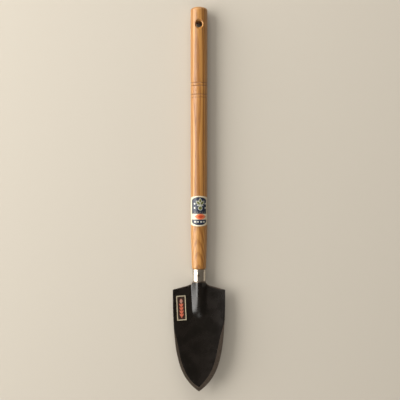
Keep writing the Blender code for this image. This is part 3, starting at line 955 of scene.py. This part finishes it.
@dataclass
class Ferrule:
    """The steel ring on the handle's lower end, and the peened pin across it."""

    datum: Datum
    radius: float = 10.4 * MM
    wall: float = 1.0 * MM
    edge: float = 0.35 * MM
    pin_radius: float = 1.5 * MM
    pin_hole_radius: float = 1.8 * MM
    pin_x: float = -1.2 * MM
    pin_stand: float = 0.22 * MM
    head_overhang: float = 0.12 * MM
    head_crown: float = 0.42 * MM
    head_edge: float = 0.6 * MM
    head_depth: float = 1.0 * MM
    sides: int = 96

    @property
    def pin_y(self) -> float:
        """The pin's place, half-way along the ring."""
        return (self.datum.ferrule_low_y + self.datum.ferrule_high_y) / 2

    def pin_rings(self, outline: Sequence[tuple[float, float]]) -> list[tuple[float, Place]]:
        """Rings of an outline of (radius, height above the axis), on the pin's axis, mirrored below it."""
        whole = list(outline) + [(radius, -height) for radius, height in reversed(outline)]
        axis_z = self.datum.axis_z
        return [(radius, (self.pin_x, self.pin_y, axis_z + height)) for radius, height in whole]

    def build_ring(self) -> Piece:
        """Turn the ring with rounded edges, and drill it for the pin.

        Returns:
            The ferrule.
        """
        low, high = self.datum.ferrule_low_y, self.datum.ferrule_high_y
        inner = self.radius - self.wall
        outline = []
        for angle in quarter_turn(5):
            inwards, down = self.edge * (1 - math.sin(angle)), self.edge * (1 - math.cos(angle))
            outline.append((self.radius - inwards, high - down))
        outline += [(radius, low + high - y) for radius, y in reversed(outline)]
        outline += [(inner, low), (inner, high), outline[0]]
        rings = [(radius, (0.0, y, self.datum.axis_z)) for radius, y in outline]
        ring = sweep("ferrule_ring", rings, self.sides, Along.Y, Wall.RING)
        reach = self.radius + 2 * MM
        drill = self.pin_rings([(END_RADIUS, reach), (self.pin_hole_radius, reach)])
        cut_away(ring, sweep("pin_drill", drill, 32, Along.Z, Wall.SOLID))
        finish = PolishedSteelFinish(ends=(low, high))
        finish_piece(ring, finish.make(), ["ferrule"], 34.0)
        return ring

    def build_pin(self) -> Piece:
        """Turn the pin, with peened heads a little wider than its shank.

        Returns:
            The pin.
        """
        surface = math.sqrt(self.radius**2 - self.pin_x**2)
        top = surface + self.pin_stand
        wide = self.pin_radius + self.head_overhang
        outline = [(END_RADIUS, top)]
        for angle in quarter_turn(7)[1:]:
            outline.append((wide * math.sin(angle), top - self.head_crown * (1 - math.cos(angle))))
        outline += [(wide, top - self.head_edge), (self.pin_radius, top - self.head_depth)]
        pin = sweep("pin_peened", self.pin_rings(outline), 32, Along.Z, Wall.SOLID)
        finish = PolishedSteelFinish("peened_pin", (0.36, 0.31, 0.25), (0.12, 0.09, 0.06))
        finish_piece(pin, finish.make(), ["ferrule_pin"], 40.0)
        return pin

    def build(self) -> list[Piece]:
        """Build the ring and the pin."""
        return [self.build_ring(), self.build_pin()]


@dataclass
class Blade:
    """The pressed, dished blade, with its raised ridge and its ground band."""

    datum: Datum
    half_width: float = 40.98 * MM
    sheet: float = 1.8 * MM
    dish_depth: float = 4.5 * MM
    lean: float = math.radians(4.5)
    tip_lift: float = 1.0 * MM
    tip_lift_length: float = 70.0 * MM
    shoulder_drop: float = 12.6 * MM
    flare_width: float = 8.1 * MM
    flare_drop: float = 6.6 * MM
    flare_lead: float = 0.2
    flare_dive: float = 0.6
    neck_half_width: float = 9.9 * MM
    tip_fullness: float = 0.78
    tip_rise: float = 22.0 * MM
    side_rise: float = 55.0 * MM
    ridge_length: float = 61.0 * MM
    ridge_half_width: float = 13.5 * MM
    ridge_end_half_width: float = 10.5 * MM
    ridge_height: float = 10.4 * MM
    ridge_end_height: float = 4.4 * MM
    crest_radius: float = 7.0 * MM
    foot_radius: float = 2.5 * MM
    nose_start: float = 0.78
    fade_start: float = 0.38
    bevel_start: float = 128.0 * MM
    bevel_full: float = 60.0 * MM
    bevel_plain: float = 1.2 * MM
    bevel_width: float = 7.2 * MM
    bevel_edge: float = 0.6 * MM
    faint_below: float = 0.55
    faint_inset: float = 2.6 * MM
    rim_width: float = 1.4 * MM
    broken_edge: float = 0.12 * MM
    rows: int = 150
    columns: int = 64
    bevel_columns: int = 8
    shoulder_share: float = 0.35
    samples: int = 400
    length: float = field(init=False)
    dish_radius: float = field(init=False)
    front_half_width: float = field(init=False)
    neck_slant: float = field(init=False)

    def __post_init__(self) -> None:
        """Work out the sizes that follow from the others."""
        self.length = self.datum.neck_y - self.datum.tip_y
        self.dish_radius = (self.half_width**2 + self.dish_depth**2) / (2 * self.dish_depth)
        self.front_half_width = self.half_width * (1 - self.sheet / self.dish_radius)
        fall = (self.ridge_height - self.ridge_end_height) / self.ridge_length - math.tan(self.lean)
        self.neck_slant = self.sheet * max(0.0, math.sin(math.atan(fall)))

    def curve(self, *corners: tuple[float, float]) -> np.ndarray:
        """Points along one cubic curve with these four corners."""
        t = np.linspace(0.0, 1.0, self.samples)[:, None]
        start, first, second, end = (np.array(corner) for corner in corners)
        outer = (1 - t) ** 3 * start + 3 * (1 - t) ** 2 * t * first
        return outer + 3 * (1 - t) * t**2 * second + t**3 * end

    def side_outline(self) -> np.ndarray:
        """The front's edge as (x, distance from the tip), from the shoulder's corner to the tip."""
        wide = self.front_half_width
        corner = (wide, self.length - self.shoulder_drop)
        near_tip = (self.tip_fullness * wide, self.tip_rise)
        return self.curve(corner, (wide, self.side_rise), near_tip, (0.0, 0.0))

    def drop_at(self, x: float | np.ndarray) -> float | np.ndarray:
        """How far the top edge lies below the neck's end at x: neck, hollow flare, shoulder."""
        flare_x = self.neck_half_width + self.flare_width
        slope = (self.shoulder_drop - self.flare_drop) / (self.front_half_width - flare_x)
        ease = self.flare_width / 2
        flare = self.curve(
            (self.neck_half_width, self.neck_slant),
            (self.neck_half_width + self.flare_lead * self.flare_width, self.flare_dive * self.flare_drop),
            (flare_x - ease, self.flare_drop - ease * slope),
            (flare_x, self.flare_drop),
        )
        outline = np.vstack([(0.0, self.neck_slant), flare, (self.front_half_width, self.shoulder_drop)])
        return np.interp(x, outline[:, 0], outline[:, 1])

    def bevel_at(self, from_tip: float | np.ndarray) -> float | np.ndarray:
        """Width of the ground band at a distance from the tip."""
        share = np.clip((self.bevel_start - from_tip) / (self.bevel_start - self.bevel_full), 0.0, 1.0)
        return self.bevel_plain + (self.bevel_width - self.bevel_plain) * share * share * (3 - 2 * share)

    def bevel_line(self, outline: np.ndarray) -> np.ndarray:
        """The ground band's inner line, ending on the middle line above the tip.

        Args:
            outline: the front's edge.

        Returns:
            Points as (x, distance from the tip).
        """
        run = np.gradient(outline, axis=0)
        normal = np.column_stack([run[:, 1], -run[:, 0]])
        normal /= np.linalg.norm(normal, axis=1)[:, None]
        inner = outline + normal * self.bevel_at(outline[:, 1])[:, None]
        last = int(np.argmax(inner[:, 0] < 0.0))
        share = inner[last - 1, 0] / (inner[last - 1, 0] - inner[last, 0])
        line = np.vstack([inner[:last], inner[last - 1] + share * (inner[last] - inner[last - 1])])
        line[0] = (line[0, 0], self.length - self.drop_at(line[0, 0]))
        return line

    @staticmethod
    def evenly(line: np.ndarray, count: int) -> np.ndarray:
        """Points that divide a line of points into equal lengths."""
        steps = np.linalg.norm(np.diff(line, axis=0), axis=1)
        travelled = np.concatenate([[0.0], np.cumsum(steps)])
        wanted = np.linspace(0.0, travelled[-1], count + 1)
        return np.column_stack([np.interp(wanted, travelled, values) for values in line.T])

    def ridge_size(self, from_tip: float) -> tuple[float, float]:
        """Half-width and height of the ridge at a distance from the tip."""
        along = (self.length - from_tip) / self.ridge_length
        if along >= 1.0:
            return 0.0, 0.0
        half_width = self.ridge_half_width + (self.ridge_end_half_width - self.ridge_half_width) * along
        height = self.ridge_height + (self.ridge_end_height - self.ridge_height) * along
        nose = max(0.0, (along - self.nose_start) / (1 - self.nose_start))
        fade = max(0.0, (along - self.fade_start) / (1 - self.fade_start))
        return half_width * math.sqrt(1 - nose**2), height * (1 - nose**2) * (1 - fade**2)

    def flank_angle(self, half_width: float, height: float) -> float:
        """Slope of the ridge's flanks."""
        arcs = self.crest_radius + self.foot_radius
        rest = arcs - height
        return math.asin(arcs / math.hypot(half_width, rest)) - math.atan2(rest, half_width)

    def ridge_rise(self, x: float, from_tip: float) -> float:
        """Height of the ridge above the dish: a rounded crest, flat flanks and a hollow foot."""
        half_width, height = self.ridge_size(from_tip)
        if abs(x) >= half_width:
            return 0.0
        flank = self.flank_angle(half_width, height)
        sine, cosine = math.sin(flank), math.cos(flank)
        if abs(x) <= self.crest_radius * sine:
            return height - self.crest_radius + math.sqrt(self.crest_radius**2 - x**2)
        inwards = half_width - abs(x)
        if inwards <= self.foot_radius * sine:
            return self.foot_radius - math.sqrt(self.foot_radius**2 - inwards**2)
        foot = self.foot_radius * (1 - cosine)
        return foot + (inwards - self.foot_radius * sine) * math.tan(flank)

    def front_z(self, x: float, from_tip: float) -> float:
        """Height of the blade's front: the leaning dish, the lifted tip and the ridge."""
        lean = (self.length - from_tip) * math.tan(self.lean)
        dish = self.dish_radius - math.sqrt(self.dish_radius**2 - x**2)
        lift = self.tip_lift * max(0.0, 1 - from_tip / self.tip_lift_length) ** 2
        return self.datum.axis_z + lean + dish + lift + self.ridge_rise(x, from_tip)

    def row(self, inner: np.ndarray, share: float) -> np.ndarray:
        """One row across half the sheet, from the middle line to a point on the ground band's line.

        Args:
            inner: that point.
            share: how far down the blade the row is, from 0 to 1.

        Returns:
            Points as (x, distance from the tip, z).
        """
        across = np.linspace(0.0, 1.0, self.samples)
        x = across * inner[0]
        top_width = self.front_half_width - self.bevel_plain
        full_drop = self.drop_at(top_width) - self.neck_slant
        middle = inner[1] + full_drop * (1 - share)
        ease = 1 - min(1.0, share / self.shoulder_share)
        shoulder = ease * ease * (3 - 2 * ease)
        bent = (self.drop_at(across * top_width) - self.neck_slant) / full_drop
        bend = shoulder * bent + (1 - shoulder) * across**2
        from_tip = middle - (middle - inner[1]) * bend
        z = [self.front_z(*place) for place in zip(x, from_tip)]
        return self.evenly(np.column_stack([x, from_tip, z]), self.columns)

    def points(self) -> np.ndarray:
        """Half the front as rows of (x, distance from the tip, z, share of the ground band, grind depth)."""
        outline = self.side_outline()
        inner = self.evenly(self.bevel_line(outline), self.rows)
        outer = self.evenly(outline, self.rows)
        table = np.zeros((self.rows + 1, self.columns + self.bevel_columns + 1, 5))
        for row in range(self.rows + 1):
            table[row, : self.columns + 1, :3] = self.row(inner[row], row / self.rows)
            for step in range(1, self.bevel_columns + 1):
                share = step / self.bevel_columns
                x, from_tip = inner[row] + share * (outer[row] - inner[row])
                ground = (self.bevel_at(from_tip) - self.bevel_plain) / (self.bevel_width - self.bevel_plain)
                drop = share * ground * (self.sheet - self.bevel_edge)
                z = self.front_z(x, from_tip) - drop
                table[row, self.columns + step] = (x, from_tip, z, share, drop)
        return table

    def mark_sheet(self, blade: Piece) -> None:
        """Write down, point by point, where the blade is ground and how near the rim it is.

        Args:
            blade: half the front, still an open sheet.
        """
        inner = self.evenly(self.bevel_line(self.side_outline()), 4 * self.rows)
        outline = self.side_outline()
        mesh = blade.data
        places = np.array([(point.co.x, point.co.y - self.datum.tip_y) for point in mesh.vertices])
        from_inner = np.array([np.hypot(*(inner - place).T).min() for place in places])
        from_rim = np.array([np.hypot(*(outline - place).T).min() for place in places])
        from_rim = np.minimum(from_rim, self.length - self.drop_at(places[:, 0]) - places[:, 1])
        band = self.bevel_at(places[:, 1])
        beyond = np.where(from_rim < band * 0.999, from_inner, -from_inner)
        faint = 1 - np.clip((band - self.bevel_plain) / (self.faint_below * self.bevel_width), 0.0, 1.0)
        ground = np.clip((beyond - self.faint_inset * faint) / self.bevel_width, -1.0, 1.0)
        rim = np.clip(1 - from_rim / self.rim_width, 0.0, 1.0)
        for name, values in (("ground", ground), ("rim", rim)):
            mesh.attributes.new(name, "FLOAT", "POINT").data.foreach_set("value", values.astype(np.float32))

    def build_sheet(self) -> Piece:
        """Press half the front, mirror it, thicken it downwards and break its edges.

        Returns:
            The blade.
        """
        table = self.points()

        def place(column: int, row: int) -> Place:
            x, from_tip, z = table[row, column, :3]
            return (x, self.datum.tip_y + from_tip, z)

        blade = pressed_grid("blade_sheet", self.columns + self.bevel_columns, self.rows, place)
        self.mark_sheet(blade)
        full = blade.vertex_groups.new(name="full_sheet")
        for point in blade.data.vertices:
            lowered = self.front_z(point.co.x, point.co.y - self.datum.tip_y) - point.co.z
            full.add([point.index], 1 - lowered / self.sheet, "REPLACE")
        mirror = blade.modifiers.new("mirror", "MIRROR")
        mirror.merge_threshold = 0.01 * MM
        apply_modifier(blade, mirror)
        wall = blade.modifiers.new("wall", "SOLIDIFY")
        wall.thickness = self.sheet
        wall.offset = -1.0
        wall.use_even_offset = True
        wall.vertex_group = "full_sheet"
        wall.thickness_vertex_group = 0.0
        apply_modifier(blade, wall)
        broken = blade.modifiers.new("broken_edges", "BEVEL")
        broken.width = self.broken_edge
        broken.segments = 2
        broken.limit_method = "ANGLE"
        broken.angle_limit = math.radians(55)
        apply_modifier(blade, broken)
        finish_piece(blade, BlackedSteelFinish().make(), ["blade"], 42.0)
        return blade

    def build(self) -> list[Piece]:
        """Build the sheet."""
        return [self.build_sheet()]


@dataclass
class Tang:
    """The forged rod from the handle's bore to its place under the ridge, and the weld that holds it."""

    datum: Datum
    blade: Blade
    radius: float = 4.6 * MM
    point_radius: float = 2.8 * MM
    wedge_radius: float = 3.3 * MM
    under_ridge: float = 31.0 * MM
    in_handle: float = 85.0 * MM
    nose: float = 1.6 * MM
    nose_fullness: float = 0.7
    weld_radius: float = 1.15 * MM
    weld_pitch: float = 0.55 * MM
    weld_from_neck: float = 3.5 * MM
    weld_from_end: float = 1.5 * MM
    weld_turn: float = math.radians(34)
    weld_stand: float = 0.55 * MM
    weld_ripple: float = 0.13
    weld_waver: float = 0.05

    @property
    def low_y(self) -> float:
        """Where the rod ends under the ridge."""
        return self.datum.neck_y - self.under_ridge

    @property
    def high_y(self) -> float:
        """Where the rod ends in the handle."""
        return self.datum.spigot_end_y + self.in_handle

    def radius_at(self, y: float) -> float:
        """Radius of the rod at a place along it."""
        places = (self.low_y, self.datum.neck_y, self.datum.spigot_end_y, self.high_y)
        return float(np.interp(y, places, (self.wedge_radius, self.radius, self.radius, self.point_radius)))

    def flank_at(self, y: float) -> float:
        """Slope of the ridge's flanks over the rod."""
        return self.blade.flank_angle(*self.blade.ridge_size(y - self.datum.tip_y))

    def z_at(self, y: float) -> float:
        """Height of the rod's middle: on the axis, then rising to rest against the ridge's flanks."""
        if y > self.datum.neck_y:
            return self.datum.axis_z
        cosine = math.cos(self.flank_at(y))
        crest = self.blade.front_z(0.0, y - self.datum.tip_y)
        flanks_meet = crest + self.blade.crest_radius * (1 / cosine - 1)
        resting = flanks_meet - (self.blade.sheet + FIT_GAP + self.radius_at(y)) / cosine
        rise = (resting - self.datum.axis_z) * (self.datum.neck_y - y) / self.under_ridge
        return self.datum.axis_z + rise

    def build_rod(self) -> Piece:
        """Draw out the rod, with a rounded end under the ridge.

        Returns:
            The tang.
        """
        rings = []
        for angle in quarter_turn(6)[:-1]:
            y = self.low_y + self.nose * (1 - math.cos(angle))
            radius = max(END_RADIUS, self.radius_at(y) * math.sin(angle) ** self.nose_fullness)
            rings.append((radius, (0.0, y, self.z_at(y))))
        under = np.linspace(self.low_y + self.nose, self.datum.neck_y, 24)
        for y in (*under, self.datum.spigot_end_y, self.high_y):
            rings.append((self.radius_at(y), (0.0, float(y), self.z_at(y))))
        rings.append((END_RADIUS, (0.0, self.high_y, self.z_at(self.high_y))))
        rod = sweep("tang_rod", rings, 40, Along.Y, Wall.SOLID)
        dark, light = (0.030, 0.026, 0.023), (0.105, 0.092, 0.080)
        finish = ForgedSteelFinish("forged_tang", dark, light, (0.42, 0.62))
        finish_piece(rod, finish.make(), ["tang"], 50.0)
        return rod

    def build_weld(self) -> list[Piece]:
        """Lay one rippled weld bead beside the rod, then copy and mirror it for the other side.

        Returns:
            The two beads.
        """
        start, end = self.datum.neck_y - self.weld_from_neck, self.low_y + self.weld_from_end
        count = round((start - end) / self.weld_pitch)
        rings = []
        for step in range(count + 1):
            y = start + (end - start) * step / count
            angle = self.flank_at(y) + self.weld_turn
            reach = self.radius_at(y) + self.weld_stand
            swell = 1 + self.weld_ripple * (-1) ** step + self.weld_waver * math.sin(0.9 * step)
            radius = END_RADIUS if step in (0, count) else self.weld_radius * swell
            place = (reach * math.sin(angle), y, self.z_at(y) + reach * math.cos(angle))
            rings.append((radius, place))
        right = sweep("tang_weld_right", rings, 14, Along.Y, Wall.SOLID)
        left = right.copy()
        left.data = right.data.copy()
        left.name = left.data.name = "tang_weld_left"
        bpy.context.scene.collection.objects.link(left)
        with editing(left):
            bpy.ops.mesh.select_all(action="SELECT")
            bpy.ops.transform.resize(value=(-1.0, 1.0, 1.0), center_override=(0.0, 0.0, 0.0))
            bpy.ops.mesh.normals_make_consistent(inside=False)
        dark, light = (0.060, 0.050, 0.045), (0.200, 0.170, 0.145)
        finish = ForgedSteelFinish("weld_steel", dark, light, (0.28, 0.46)).make()
        for bead in (right, left):
            finish_piece(bead, finish, [], 60.0)
        return [right, left]

    def build(self) -> list[Piece]:
        """Build the rod and its weld."""
        return [self.build_rod(), *self.build_weld()]


@dataclass
class Labels:
    """The printed label round the handle and the sticker on the blade."""

    datum: Datum
    handle: Handle
    blade: Blade
    lift: float = 0.08 * MM
    paper: float = 0.12 * MM
    above_ferrule: float = 66.8 * MM
    length: float = 47.1 * MM
    wrap: float = math.radians(78)
    arch: float = 3.2 * MM
    sticker_width: float = 14.4 * MM
    sticker_length: float = 38.0 * MM
    sticker_x: float = -27.5 * MM
    sticker_below_neck: float = 41.0 * MM
    sticker_lean: float = math.radians(2.7)

    def thicken(self, sheet: Piece) -> None:
        """Give a printed sheet its thickness, outwards."""
        wall = sheet.modifiers.new("paper", "SOLIDIFY")
        wall.thickness = self.paper
        wall.offset = 1.0
        apply_modifier(sheet, wall)

    def build_handle_label(self) -> Piece:
        """Wrap the label round the front of the handle, with arched ends.

        Returns:
            The handle's label.
        """
        columns, rows = 72, 28
        middle = self.handle.length - self.above_ferrule - self.length / 2

        def place(column: int, row: int) -> Place:
            across, along = 2 * column / columns - 1, 2 * row / rows - 1
            from_butt = middle + along * (self.length / 2 - self.arch * across**2)
            radius = self.handle.plain_radius(from_butt) + self.lift
            angle = across * self.wrap
            y = self.datum.butt_y - from_butt
            return (radius * math.sin(angle), y, self.datum.axis_z + radius * math.cos(angle))

        label = pressed_grid("handle_label_paper", columns, rows, place)
        self.thicken(label)
        arc = 2 * self.wrap * self.handle.lower_radius / MM
        finish = HandlePrint(arc, self.length / MM, self.arch / MM)
        finish_piece(label, finish.make(), ["handle_label"], 40.0)
        return label

    def build_sticker(self) -> Piece:
        """Lay the sticker on the dish, leaning a little.

        Returns:
            The blade's sticker.
        """
        columns, rows = 18, 40
        cosine, sine = math.cos(self.sticker_lean), math.sin(self.sticker_lean)
        centre = self.blade.length - self.sticker_below_neck

        def place(column: int, row: int) -> Place:
            across = self.sticker_width * (column / columns - 0.5)
            along = self.sticker_length * (row / rows - 0.5)
            x = self.sticker_x + across * cosine - along * sine
            from_tip = centre + across * sine + along * cosine
            return (x, self.datum.tip_y + from_tip, self.blade.front_z(x, from_tip) + self.lift)

        sticker = pressed_grid("blade_sticker", columns, rows, place)
        self.thicken(sticker)
        finish = BladePrint(self.sticker_width / MM, self.sticker_length / MM)
        finish_piece(sticker, finish.make(), ["blade_label"], 40.0)
        return sticker

    def build(self) -> list[Piece]:
        """Build both labels."""
        return [self.build_handle_label(), self.build_sticker()]


# Floor, light and camera


@dataclass(frozen=True)
class Panel:
    """A soft rectangular light that faces a point."""

    name: str
    middle: Place
    size: tuple[float, float]
    aim: Place
    radiance: float
    colour: Colour = (1.0, 0.98, 0.95)

    def build(self) -> None:
        """Set up the panel."""
        lamp = bpy.data.lights.new(self.name, "AREA")
        lamp.shape = "RECTANGLE"
        lamp.size, lamp.size_y = self.size
        lamp.energy = self.radiance * math.pi * self.size[0] * self.size[1]
        lamp.color = self.colour
        holder = bpy.data.objects.new(self.name, lamp)
        bpy.context.scene.collection.objects.link(holder)
        facing = Vector(self.aim) - Vector(self.middle)
        holder.rotation_euler = facing.to_track_quat("-Z", "Y").to_euler()
        holder.location = self.middle


@dataclass
class Studio:
    """A plain pale floor, large soft lights on the left, above and below, and the camera overhead."""

    datum: Datum
    floor_half: float = 6.0
    panels: tuple[Panel, ...] = (
        Panel("left_low", (-1.8, 0.65, 0.55), (3.1, 1.0), (0.0, 0.65, 0.55), 6.2),
        Panel("left_high", (-1.8, 0.65, 1.78), (3.1, 1.45), (0.0, 0.65, 1.78), 7.0),
        Panel("top", (0.0, 3.4, 2.4), (3.2, 3.0), (0.0, 0.0, 0.0), 3.6),
        Panel("bottom", (0.0, -3.4, 2.4), (3.2, 3.0), (0.0, 0.0, 0.0), 1.5),
    )
    round_light: Colour = (0.150, 0.132, 0.110)
    lens: float = 75.0
    sensor: float = 36.0
    view_width: float = 0.6254
    view_x: float = 0.0015
    view_y: float = -0.0021

    def build_floor(self) -> None:
        """Lay the floor under the tool."""
        clear_selection()
        bpy.ops.mesh.primitive_plane_add(size=2 * self.floor_half, location=(0.0, 0.0, -0.02 * MM))
        floor = take_piece("pale_floor")
        floor.data.materials.append(FloorFinish().make())

    def build_lights(self) -> None:
        """Set up the panels and the light all round."""
        for panel in self.panels:
            panel.build()
        world = bpy.data.worlds.new("round_light")
        world.use_nodes = True
        world.node_tree.nodes["Background"].inputs["Color"].default_value = (*self.round_light, 1.0)
        bpy.context.scene.world = world
        bpy.context.scene.view_settings.view_transform = "Standard"

    def build_camera(self) -> None:
        """Hang the camera straight over the tool."""
        camera = bpy.data.cameras.new("overhead")
        camera.lens = self.lens
        camera.sensor_width = self.sensor
        holder = bpy.data.objects.new("overhead", camera)
        bpy.context.scene.collection.objects.link(holder)
        height = self.datum.axis_z + self.view_width * self.lens / self.sensor
        holder.location = (self.view_x, self.view_y, height)
        bpy.context.scene.camera = holder

    def build(self) -> None:
        """Build the whole studio."""
        self.build_floor()
        self.build_lights()
        self.build_camera()


def main() -> None:
    """Build the tool and its studio, reporting each piece."""
    logging.basicConfig(level=logging.INFO, format="%(name)s %(message)s")
    datum = Datum.from_frame()
    handle = Handle(datum)
    blade = Blade(datum)
    assemblies = (handle, Ferrule(datum), blade, Tang(datum, blade), Labels(datum, handle, blade))
    for assembly in assemblies:
        assembly.build()
        log.info("%s finished", type(assembly).__name__)
    Studio(datum).build()


if __name__ == "__main__":
    main()
